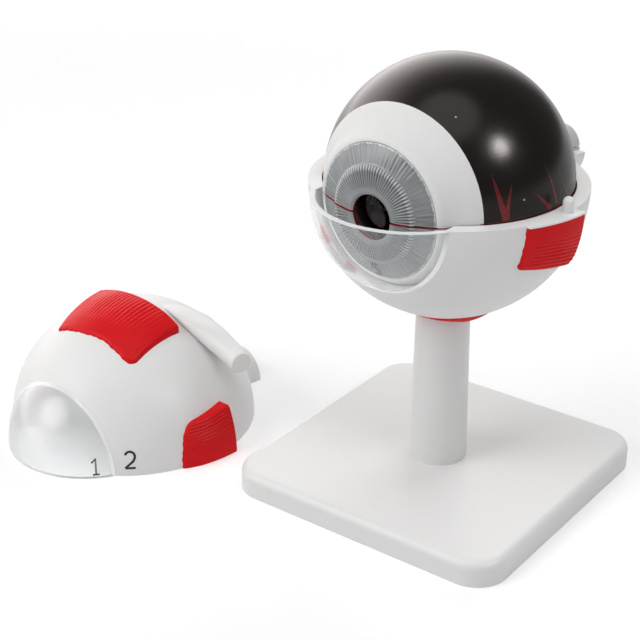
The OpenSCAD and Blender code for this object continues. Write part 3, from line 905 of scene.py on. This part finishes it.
for (word, sign), place, body, finish in zip(
    HALVES, ("table", "stand"), ("upper_shell", "stand"), (clear_hazy, clear_plastic),
):
    clear_dome(word, sign, place, body, finish)
    cut_plate(word, sign, place, body)

# %% [markdown]
# The white ring carries on the ball's surface, swells to a soft shoulder and stops at the iris.
# Inside it a ridge stands round the lens.

# %% The white ring
# The profile's points, as millimetres out from the eye's axis and ahead of its centre.
OUTER_LINE = np.array([
    [27.2, 21.72], [26.4, 22.67], [25.4, 23.79], [24.3, 24.91], [23.2, 25.96], [22.3, 26.95],
    [21.6, 27.95], [21.05, 28.95], [20.5, 29.85], [19.95, 30.4], [19.4, 30.72], [18.95, 30.8],
    [18.74, 30.6],
])
INNER_LINE = np.array([
    [18.74, 28.7], [17.8, 27.9], [17.6, 27.4], [14.7, 25.4], [14.6, 25.2], [14.6, 23.5],
    [14.7, 23.3], [24.2, 21.9], [24.9, 21.72],
])
RING_STEPS = 181

ring_profile = np.vstack([through(OUTER_LINE, 61), INNER_LINE])
for half in HALVES:
    word = half[0]
    made = half_ring(f"ring_{word}", ring_profile, RING_STEPS, half, ring_white,
                     f"{word}_ciliary_ring")

# %% [markdown]
# The iris is the liveliest surface of the model. Strong fine ribs run outwards from the smooth
# edge of the pupil and end in a step, whose ends catch the light and get a painted highlight.
# Outside the step the ribs are faint and uneven. The pupil stands a little nearer the nose than
# the iris's edge does. The relief is one function of radius and angle, and the groove's depth is
# also kept as a number per point, so that the finish can paint shade into the grooves.

# %% The iris
PUPIL_R, IRIS_R, STEP_R = 6.2, 18.7, 13.3
IRIS_DOME, IRIS_AHEAD, IRIS_WALL = 32.0, 5.0065, 1.8
IRIS_STEPS, RIBS_ROUND = 441, 88
PUPIL_ASIDE, EDGE_PALE = 1.1, 18.48


def iris_groove(out, angle):
    """How deep a point lies in a groove, 0 to 1: strong even ribs inside the step, and faint
    ones of mixed widths outside it."""
    wobble = 0.22 * np.sin(5 * angle + 1) + 0.16 * np.sin(13 * angle + 2 + 0.12 * out)
    strong = 1 - np.abs(np.sin(RIBS_ROUND / 2 * angle + wobble)) ** 0.6
    faint = 0.5 + 0.25 * np.sin(61 * angle + 0.2 * out) + 0.25 * np.sin(97 * angle - 0.3 * out + 2)
    faint = faint * (0.55 + 0.45 * np.sin(7 * angle + 0.4 * out))
    inside = ease(PUPIL_R + 0.9, PUPIL_R + 2.6, out) * (1 - ease(STEP_R - 0.1, STEP_R + 0.35, out))
    outside = ease(STEP_R + 0.2, STEP_R + 0.8, out) * (1 - ease(IRIS_R - 0.5, IRIS_R, out))
    return strong * inside + 0.35 * faint * outside


def iris_pale_and_glints(out, angle):
    """How pale a point is, 0 to 1: a painted highlight on the ends of the ribs at the step, faint
    streaks beyond it, and the ragged line where the white of the ring runs over the edge."""
    crest = 1 - iris_groove(out, angle)
    # Paleness on the rib ends at the step: a painted highlight.
    painted_glints = ease(STEP_R - 1.4, STEP_R - 0.6, out) * (1 - ease(STEP_R - 0.1, STEP_R + 0.4, out))
    rays = 0.5 + 0.5 * np.sin(71 * angle + 1.3 * np.sin(9 * angle) + 0.25 * out)
    rays = rays**2 * (0.5 + 0.5 * np.sin(17 * angle + 2 + 0.5 * out))
    rays = rays * ease(STEP_R + 0.3, STEP_R + 1.2, out) * (1 - ease(17.0, 18.4, out))
    ragged = EDGE_PALE + 0.10 * np.sin(31 * angle + np.sin(5 * angle)) + 0.10 * np.sin(83 * angle + 1)
    border = ease(ragged - 0.08, ragged + 0.08, out)
    return np.clip(0.55 * painted_glints * crest**2 + 0.11 * rays + 0.85 * border, 0, 1)


def iris_base(out):
    """Millimetres ahead of the plain dome, without the ribs: the iris is flatter than the dome
    towards the pupil, the inner field stands up with a rounded step, and the pupil's edge is
    rounded."""
    flat = -1.5 * (1 - (out / IRIS_R) ** 2)
    field = 0.72 * (1 - ease(STEP_R - 0.6, STEP_R + 0.6, out))
    return flat + field - 0.35 * (1 - ease(PUPIL_R, PUPIL_R + 0.7, out))


def iris_relief(out, angle):
    """Millimetres ahead of the plain dome: the base, less grooves that deepen outwards."""
    depth = 0.2 + 0.25 * ease(PUPIL_R + 2, STEP_R, out)
    return iris_base(out) - depth * iris_groove(out, angle)


def towards_the_nose(out):
    """Millimetres that a circle of the iris stands nearer the nose: most at the pupil, nothing at
    the outer edge."""
    return PUPIL_ASIDE * np.clip((IRIS_R - out) / (IRIS_R - PUPIL_R), 0, 1)


print("the iris's base at pupil, step and edge:", iris_base(np.array([PUPIL_R, STEP_R, IRIS_R])))

# %% The iris's profile
out = np.concatenate([
    np.linspace(PUPIL_R, PUPIL_R + 0.8, 6)[:-1], np.linspace(PUPIL_R + 0.8, STEP_R - 0.3, 22)[:-1],
    np.linspace(STEP_R - 0.3, STEP_R + 0.7, 10)[:-1], np.linspace(STEP_R + 0.7, IRIS_R, 22),
])
dome = IRIS_AHEAD + np.sqrt(IRIS_DOME**2 - out**2)
back_out = np.linspace(IRIS_R, PUPIL_R, 6)
back = IRIS_AHEAD + np.sqrt((IRIS_DOME - IRIS_WALL) ** 2 - back_out**2)
iris_profile = np.vstack([np.stack([out, dome], -1), np.stack([back_out, back], -1)])
front = np.concatenate([np.ones(len(out)), np.zeros(len(back_out))])[None]
print("points round the iris's section:", len(iris_profile))

# %% The iris's finish and halves
iris_grey = plastic(
    "iris_grey", (0.205, 0.222, 0.228), (0.275, 0.292, 0.298), (0.2, 0.3), grain=1500,
    depth=0.05, drift=160, Specular_IOR_Level=0.45,
)
pupil_red = plastic("pupil_red", (0.24, 0.004, 0.006), (0.32, 0.006, 0.009), (0.3, 0.45))
tree, shader, _, tones = parts_of(iris_grey)
# The grooves are darkened by their depth: painted shade in the ribs' hollows.
groove_shade_read = node(tree, "ShaderNodeAttribute", attribute_name="groove")
darker = node(tree, "ShaderNodeMix", data_type="RGBA", blend_type="MULTIPLY")
darker.inputs[7].default_value = (0.16, 0.17, 0.18, 1)
pale_and_glint_read = node(tree, "ShaderNodeAttribute", attribute_name="pale")
paler = node(tree, "ShaderNodeMix", data_type="RGBA")
paler.inputs[7].default_value = (0.66, 0.68, 0.685, 1)
join(
    tree,
    (groove_shade_read, "Fac"), (darker, 0),
    (tones, 2), (darker, 6),
    (pale_and_glint_read, "Fac"), (paler, 0),
    (darker, 2), (paler, 6),
    (paler, 2), (shader, "Base Color"),
)
# A slot for each face: 0 for the front, 1 for the outer wall and rear, 2 for the pupil's wall.
slots = np.zeros(len(iris_profile), int)
slots[len(out):] = 1
slots[-1] = 2
slots = np.append(np.tile(slots, IRIS_STEPS - 1), [1, 1]).astype(np.int32)
for half in HALVES:
    word, sign = half
    made = half_ring(
        f"iris_{word}", iris_profile, IRIS_STEPS, half, iris_grey, f"{word}_iris",
        lambda r, a: iris_relief(r, a) * front, towards_the_nose,
    )
    x, _, z = np.moveaxis(half_turn(iris_profile, IRIS_STEPS, sign, PAINTED_SEAM), -1, 0)
    attribute(made, "groove", iris_groove(np.hypot(x, z), np.arctan2(z, x)) * front)
    attribute(made, "pale", iris_pale_and_glints(np.hypot(x, z), np.arctan2(z, x)) * front)
    made.data.materials.append(split_red)
    made.data.materials.append(pupil_red)
    made.data.polygons.foreach_set("material_index", slots)

# %% [markdown]
# ## The painted seam
#
# Where the ball parts, its cut faces are painted dark red, which shows in the closed model as a
# thin red line. The paint is a very thin plate on each half that follows the ball's section: out
# to just inside the outer line, in to the lining.


# %% Plates on the cut faces
def from_centre(phi, dome, ahead):
    """Distance from the eye's centre, at an angle from the axis, of a circle centred ahead."""
    return ahead * np.cos(phi) + np.sqrt(dome**2 - (ahead * np.sin(phi)) ** 2)


BALL_R, LINING_WALL = 34.8, 32.5
# The iris ends and the ring ends at these degrees from the axis. Between them the line falls.
IRIS_END, RING_END, RING_LINE, RING_SLOPE = 31.5, 36, 36.1, 0.25
IRIS_REACH, PAINT_NEAR, PAINT_DEEP = 36.5, 0.11, 0.31

phi = np.radians(np.concatenate([np.linspace(10.5, 60, 120), np.linspace(62, 180, 80)]))
phi = np.concatenate([phi, 2 * np.pi - phi[-2::-1]])
bend = np.minimum(phi, 2 * np.pi - phi)
lip = np.degrees(bend)
iris_line = from_centre(bend, IRIS_DOME, IRIS_AHEAD)
iris_line = iris_line + iris_base(iris_line * np.sin(bend)) - 0.3
ring_line = RING_LINE - (lip - IRIS_END) * RING_SLOPE
outer_line = np.where(lip < RING_END, ring_line, BALL_R)
outer_line = np.where(lip < IRIS_END, iris_line, outer_line) - 0.05
iris_back = from_centre(bend, IRIS_DOME - IRIS_WALL, IRIS_AHEAD)
inner_line = np.where(lip < IRIS_END, iris_back, LINING_WALL) + 0.15
aside = np.where(lip < IRIS_END, towards_the_nose(IRIS_REACH * np.sin(bend)), 0)
for word, sign in HALVES:
    near, deep = sign * PAINT_NEAR, sign * PAINT_DEEP
    section = [(inner_line, near), (outer_line, near), (outer_line, deep), (inner_line, deep)]
    points = np.stack(
        [np.stack([r * np.sin(phi) + aside, -r * np.cos(phi), np.full_like(phi, z)], -1)
         for r, z in section], 1)
    faces = tube_faces(len(phi), 4)
    made = piece(f"seam_paint_{word}", put(points.reshape(-1, 3), "ball"), faces, split_red,
                 f"{word}_ball")

# %% [markdown]
# ## Vessels
#
# Thin red vessels are painted on the black ball near its seam, and a tree of them spreads over the
# red lining from the disc where the nerve enters. Each vessel is a low ridge that follows a
# curve on a sphere and tapers to nothing. All vessels of one half make one piece.


# %% A tapered ridge on a sphere
STEPS = 26
# Points round a vessel's section: share of its half width aside, and share of its rise.
SECTION = [(-1.0, -0.12), (-0.55, 0.75), (0.0, 1.0), (0.55, 0.75), (1.0, -0.12), (0.0, -0.6)]


def towards(azimuth, elevation):
    """Unit vectors at azimuths (0 ahead, 90 towards the nose) and elevations, in degrees."""
    a, e = np.radians(azimuth), np.radians(elevation)
    return np.stack([np.sin(a) * np.cos(e), -np.cos(a) * np.cos(e), np.sin(e)], -1)


def ridges(paths, radius, rise):
    """Points, faces and share along for a list of vessels. A vessel is a curve of directions and
    its half width at the root. Its section has six points: two in the surface, two shoulders, a
    crest and a foot below, and its width falls almost to nothing at the tip."""
    points, faces = [], []
    share = np.linspace(0, 1, STEPS)[:, None]
    for directions, width in paths:
        line = unit(through(np.asarray(directions, float), STEPS))
        side = np.cross(unit(np.gradient(line, axis=0)), line)
        taper = width * (1 - share) ** 0.8 + 0.02
        lift = rise * np.minimum(1, taper * 3)
        rows = np.stack(
            [(line + side * taper * x / radius) * (radius + lift * h) for x, h in SECTION], 1)
        faces += tube_faces(STEPS, len(SECTION), sum(len(p) for p in points))
        points.append(rows.reshape(-1, 3))
    shares = np.tile(np.repeat(share.ravel(), len(SECTION)), len(paths))
    return np.vstack(points), faces, shares


print("points of a vessel:", STEPS * len(SECTION))

# %% Vessels on the black ball
vessel_red = plastic(
    "vessel_red", (0.14, 0.010, 0.013), (0.22, 0.015, 0.018), (0.22, 0.32), depth=0.02, drift=90
)
tree, shader, _, tones = parts_of(vessel_red)
tip_read = node(tree, "ShaderNodeAttribute", attribute_name="along")
fading = node(tree, "ShaderNodeMix", data_type="RGBA")
fading.inputs[7].default_value = (0.02, 0.011, 0.010, 1)
shape_fade = node(tree, "ShaderNodeMath", operation="POWER")
shape_fade.inputs[1].default_value = 2.2
join(
    tree,
    (tip_read, "Fac"), (shape_fade, 0),
    (shape_fade, 0), (fading, 0),
    (tones, 2), (fading, 6),
    (fading, 2), (shader, "Base Color"),
)
print("vessel tones fade towards", [round(v, 3) for v in fading.inputs[7].default_value[:3]])

# %% Where the vessels run
SEEN_VESSELS = [
    ([(61.5, 1.0), (59.0, 9.5), (57.0, 16.5), (55.4, 22.3)], 0.95),
    ([(61.8, 1.0), (62.5, 8.0), (63.6, 13.0), (65.2, 17.8)], 0.7),
    ([(87.0, 1.0), (84.0, 3.5), (79.6, 8.0), (75.3, 11.8)], 0.75),
    ([(90.9, 2.0), (88.9, 9.0), (86.9, 16.0), (85.2, 22.0)], 0.4),
    ([(102.2, 1.0), (98.5, 7.0), (95.8, 12.2), (92.8, 18.3)], 0.3),
    ([(50.0, 0.9), (61.0, 1.0), (71.0, 1.2), (83.0, 0.9)], 0.13),
]
random = np.random.default_rng(11)


def sprouts(count, low, high):
    """Vessels at random places between two azimuths, which leave the seam upwards, lean to one
    side and are of mixed lengths."""
    made = []
    for root in np.sort(random.uniform(low, high, count)):
        lean, tall = random.uniform(-9, 9), random.uniform(8, 24)
        rise = np.array([1.0, 0.35 * tall, 0.7 * tall, tall])
        turn = root + lean * np.array([0, 0.2, 0.55, 1.0]) + random.uniform(-1, 1, 4)
        made.append((list(zip(turn, rise)), random.uniform(0.3, 0.9)))
    return made


upper_vessels = SEEN_VESSELS + sprouts(9, 112, 250) + sprouts(5, 262, 300)
lower_vessels = [([(a, -e) for a, e in line], w) for line, w in sprouts(18, 62, 298)]
for word, vessels in (("upper", upper_vessels), ("lower", lower_vessels)):
    lines = [(towards(*np.array(line).T), w) for line, w in vessels]
    points, faces, share = ridges(lines, BALL_R, rise=0.05)
    made = piece(f"vessels_{word}", put(points, "ball"), faces, vessel_red, f"{word}_ball")
    attribute(made, "along", share)

# %% [markdown]
# ## The back of the eye
#
# When the ball is opened, its lining shows the pale disc where the nerve enters and the vessels
# that fan out from it and branch. The seam runs through the disc, so each half has half of it, and
# no vessel crosses the seam. A main vessel is a few directions, and its branches leave it by turns
# to either side at places and lengths from a seeded random row.

# %% Vessels of the lining
MAIN_VESSELS = [
    [(170.4, 2.6), (176, 9), (189, 17), (206, 23), (226, 25), (246, 21)],
    [(169.9, 3.0), (172, 12), (183, 22), (199, 31), (219, 36)],
    [(168.6, 2.6), (163, 8), (152, 14), (137, 19), (119, 21)],
    [(169.1, 3.0), (166, 11), (157, 21), (143, 30), (125, 35)],
]


def branches(line, random, count, length):
    """Side vessels: each starts on the line, goes on in its direction and turns away to a side
    with the square of the way."""
    fine = through(np.asarray(line, float), 60)
    made = []
    for k, share in enumerate(np.linspace(0.2, 0.85, count)):
        at = fine[int(share * 56)]
        ahead = unit(fine[int(share * 56) + 3] - at)
        side = np.array([-ahead[1], ahead[0]]) * (-1) ** k
        way = np.linspace(0, 1, 5)[:, None] * length * random.uniform(0.7, 1.3) * (1.2 - share)
        turned = at + ahead * way * 0.8 + side * (0.35 * way + 0.03 * way**2)
        turned[:, 1] = np.clip(turned[:, 1], 1.2, 80)
        made.append(turned)
    return made


lining_vessel = plastic("lining_vessel", (0.10, 0.004, 0.005), (0.17, 0.007, 0.008), (0.25, 0.4))
for word, sign in HALVES:
    vessels = []
    for k, main in enumerate(MAIN_VESSELS):
        vessels.append((main, 0.5 if k % 2 else 0.62))
        for limb in branches(main, random, count=6, length=17):
            vessels.append((limb, 0.3))
            twigs = branches(limb, random, count=3, length=8)
            vessels += [(twig, 0.17) for twig in twigs]
    lines = [(towards(*(np.array(line).T * [[1], [sign]])), w) for line, w in vessels]
    points, faces, _ = ridges(lines, LINING_R, rise=-0.1)
    made = piece(f"lining_vessels_{word}", put(points, "ball"), faces, lining_vessel,
                 f"{word}_ball")

# %% The disc of the nerve
DISC_R, DISC_TURN, DISC_GAP = 2.9, 10.5, 0.22

disc_pale = plastic("disc_pale", (0.80, 0.50, 0.26), (0.88, 0.62, 0.36), (0.35, 0.5), drift=300)
s, t = np.meshgrid(np.linspace(-1, 1, 41), np.linspace(0, 1, 21), indexing="ij")
wide = s * np.sqrt(1 - t**2)
from_middle = np.hypot(wide, t)
lift = 0.15 * (1 - ease(0.8, 1.0, from_middle)) - 0.1 * (1 - ease(0.1, 0.5, from_middle)) + 0.01
for word, sign in HALVES:
    level = sign * (DISC_GAP + t * (DISC_R - DISC_GAP))
    flat = unit(np.stack([wide * DISC_R, np.full_like(s, LINING_R), level], -1))
    points, faces = two_sheets(flat * (LINING_R - lift)[..., None], flat * (LINING_R + 0.2))
    points = put(points @ turn_z(-DISC_TURN).T, "ball")
    made = piece(f"disc_{word}", points, faces, disc_pale, f"{word}_ball")
    merge_doubles(made)

# %% [markdown]
# ## Numbers
#
# Key numbers are printed on some pieces: a 5 on the lower iris, a 1 on the cornea and a 2 on the
# white shell of the part on the table. Each is a few strokes, a flat band along a curve, laid on
# the surface that carries it.

# %% Strokes of the numbers
def arc(cx, cy, rx, ry, start, end, count=14):
    """Points of a part of an ellipse between two angles in degrees."""
    a = np.radians(np.linspace(start, end, count))
    return np.stack([cx + rx * np.cos(a), cy + ry * np.sin(a)], -1)


NUMBERS = {
    "1": [np.array([[-0.2, 0.74], [0.04, 1.0], [0.04, 0.0]]), np.array([[-0.16, 0.0], [0.24, 0.0]])],
    "2": [np.vstack([arc(0, 0.7, 0.28, 0.3, 160, -30), [[0.18, 0.42], [-0.28, 0.0]]]),
          np.array([[-0.28, 0.0], [0.3, 0.0]])],
    "5": [np.array([[0.26, 1.0], [-0.22, 1.0], [-0.26, 0.56]]),
          np.vstack([[[-0.26, 0.56]], arc(0.0, 0.32, 0.29, 0.32, 120, -140)])],
}


def print_number(name, text, height, stroke, surface, place, body):
    """Bands of a stroke's width along the lines of a number. surface(x, y, lift) gives the place
    on the carrier of a point of the number, in millimetres right and up from its centre."""
    points, faces = [], []
    for line in NUMBERS[text]:
        line = line * height - [0, height / 2]
        step = np.gradient(line, axis=0)
        side = unit(np.stack([-step[:, 1], step[:, 0]], -1)) * stroke / 2
        left, right = line + side, line - side
        rows = np.stack([surface(*q.T, lift) for q, lift in
                         ((left, 0.04), (right, 0.04), (right, -0.1), (left, -0.1))], 1)
        faces += tube_faces(len(line), 4, sum(len(p) for p in points))
        points.append(rows.reshape(-1, 3))
    return piece(name, put(np.vstack(points), place), faces, ink_black, body, 30)


def on_a_ball(centre, radius, middle, upright):
    """A surface function for a number that is centred where the line from a ball's centre towards
    middle leaves the ball, with its top towards upright."""
    centre, middle = np.array(centre, float), np.array(middle, float)
    out = unit(middle - centre)
    top = unit(np.array(upright, float) - out * np.dot(out, upright))
    right = np.cross(top, out)

    def surface(x, y, lift):
        flat = out * radius + right * np.asarray(x)[:, None] + top * np.asarray(y)[:, None]
        return centre + unit(flat) * (radius + lift)

    return surface


def on_the_iris(x, y, lift):
    """The lower iris without its ribs, for a number below the pupil: its plan place is moved
    straight ahead by the dome and the iris's own base."""
    x, z = np.asarray(x) + 0.3, np.asarray(y) - 16.3
    out = np.hypot(x, z)
    ahead = IRIS_AHEAD + np.sqrt(IRIS_DOME**2 - out**2) + iris_base(out) + lift
    return np.stack([x, -ahead, z], -1)


print_number("number_five", "5", height=3.7, stroke=0.75, surface=on_the_iris, place="ball",
             body="lower_ball")
on_the_dome_side = on_a_ball([0, -CORNEA_AHEAD, 0], CORNEA_R, [19.6, -35.9, 4.0], [0, 0, 1])
print_number("number_one", "1", height=5.2, stroke=0.55, surface=on_the_dome_side,
             place="table", body="upper_shell")
on_the_shell = on_a_ball([0, 0, 0], SHELL_R, [26.7, -28.1, 5.4], [0, 0, 1])
print_number("number_two", "2", height=5.4, stroke=0.75, surface=on_the_shell,
             place="table", body="upper_shell")

# %% [markdown]
# ## The floor
#
# The model stands on a seamless white table. The floor is a plain white surface that takes the
# model's shadow. A little light of its own, seen by the eye and by gloss and glass only, lifts it
# to pure white where no shadow falls, and grows where the lamps' light ends. Gloss sees the table
# dark on the right, where the open side of the room is.

# %% White floor
FLOOR_HALF = 6.0
floor_material = bpy.data.materials.new("white_table")
floor_material.use_nodes = True
tree = floor_material.node_tree
paper = tree.nodes["Principled BSDF"]
paper.inputs["Roughness"].default_value = 0.9
paper.inputs["Specular IOR Level"].default_value = 0.1
place = node(tree, "ShaderNodeTexCoord")
pulp = node(tree, "ShaderNodeTexNoise", Scale=40.0, Detail=3.0)
shades = node(tree, "ShaderNodeMix", data_type="RGBA")
shades.inputs[6].default_value = (0.80, 0.80, 0.80, 1)
shades.inputs[7].default_value = (0.82, 0.82, 0.82, 1)
glow = node(tree, "ShaderNodeEmission", Color=(1, 1, 1, 1))
path = node(tree, "ShaderNodeLightPath")
either = node(tree, "ShaderNodeMath", operation="MAXIMUM")
either_too = node(tree, "ShaderNodeMath", operation="MAXIMUM")
share = node(tree, "ShaderNodeMath", operation="MULTIPLY")
far_off = node(tree, "ShaderNodeVectorMath", operation="LENGTH")
own_light = ramp(tree, 0.4, 1.5, 0.26, 1.0)
both = node(tree, "ShaderNodeAddShader")
side_of = node(tree, "ShaderNodeVectorMath", operation="DOT_PRODUCT")
side_of.inputs[1].default_value = (-0.8, -0.6, 0)
dim = ramp(tree, -0.4, 0.1, 0.35, 0)
dimmed = node(tree, "ShaderNodeMath", operation="MULTIPLY")
dark = node(tree, "ShaderNodeBsdfDiffuse", Color=(0.02, 0.02, 0.02, 1))
open_side = node(tree, "ShaderNodeMixShader")
join(
    tree,
    (place, "Object"), (pulp, "Vector"),
    (pulp, "Fac"), (shades, 0),
    (shades, 2), (paper, "Base Color"),
    (path, "Is Camera Ray"), (either, 0),
    (path, "Is Glossy Ray"), (either, 1),
    (either, 0), (either_too, 0),
    (path, "Is Transmission Ray"), (either_too, 1),
    (place, "Object"), (far_off, 0),
    (far_off, "Value"), (own_light, "Value"),
    (either_too, 0), (share, 0),
    (own_light, "Result"), (share, 1),
    (share, 0), (glow, "Strength"),
    (paper, 0), (both, 0),
    (glow, 0), (both, 1),
    (place, "Object"), (side_of, 0),
    (side_of, "Value"), (dim, "Value"),
    (path, "Is Glossy Ray"), (dimmed, 0),
    (dim, "Result"), (dimmed, 1),
    (dimmed, 0), (open_side, 0),
    (both, 0), (open_side, 1),
    (dark, 0), (open_side, 2),
    (open_side, 0), (tree.nodes["Material Output"], 0),
)
floor_mesh = bpy.data.meshes.new("floor")
corners = [(x * FLOOR_HALF, y * FLOOR_HALF, 0) for x, y in ((-1, -1), (1, -1), (1, 1), (-1, 1))]
floor_mesh.from_pydata(corners, [], [(0, 1, 2, 3)])
floor_mesh.materials.append(floor_material)
floor = bpy.data.objects.new("floor", floor_mesh)
bpy.context.scene.collection.objects.link(floor)
print("floor half side:", FLOOR_HALF, "m")
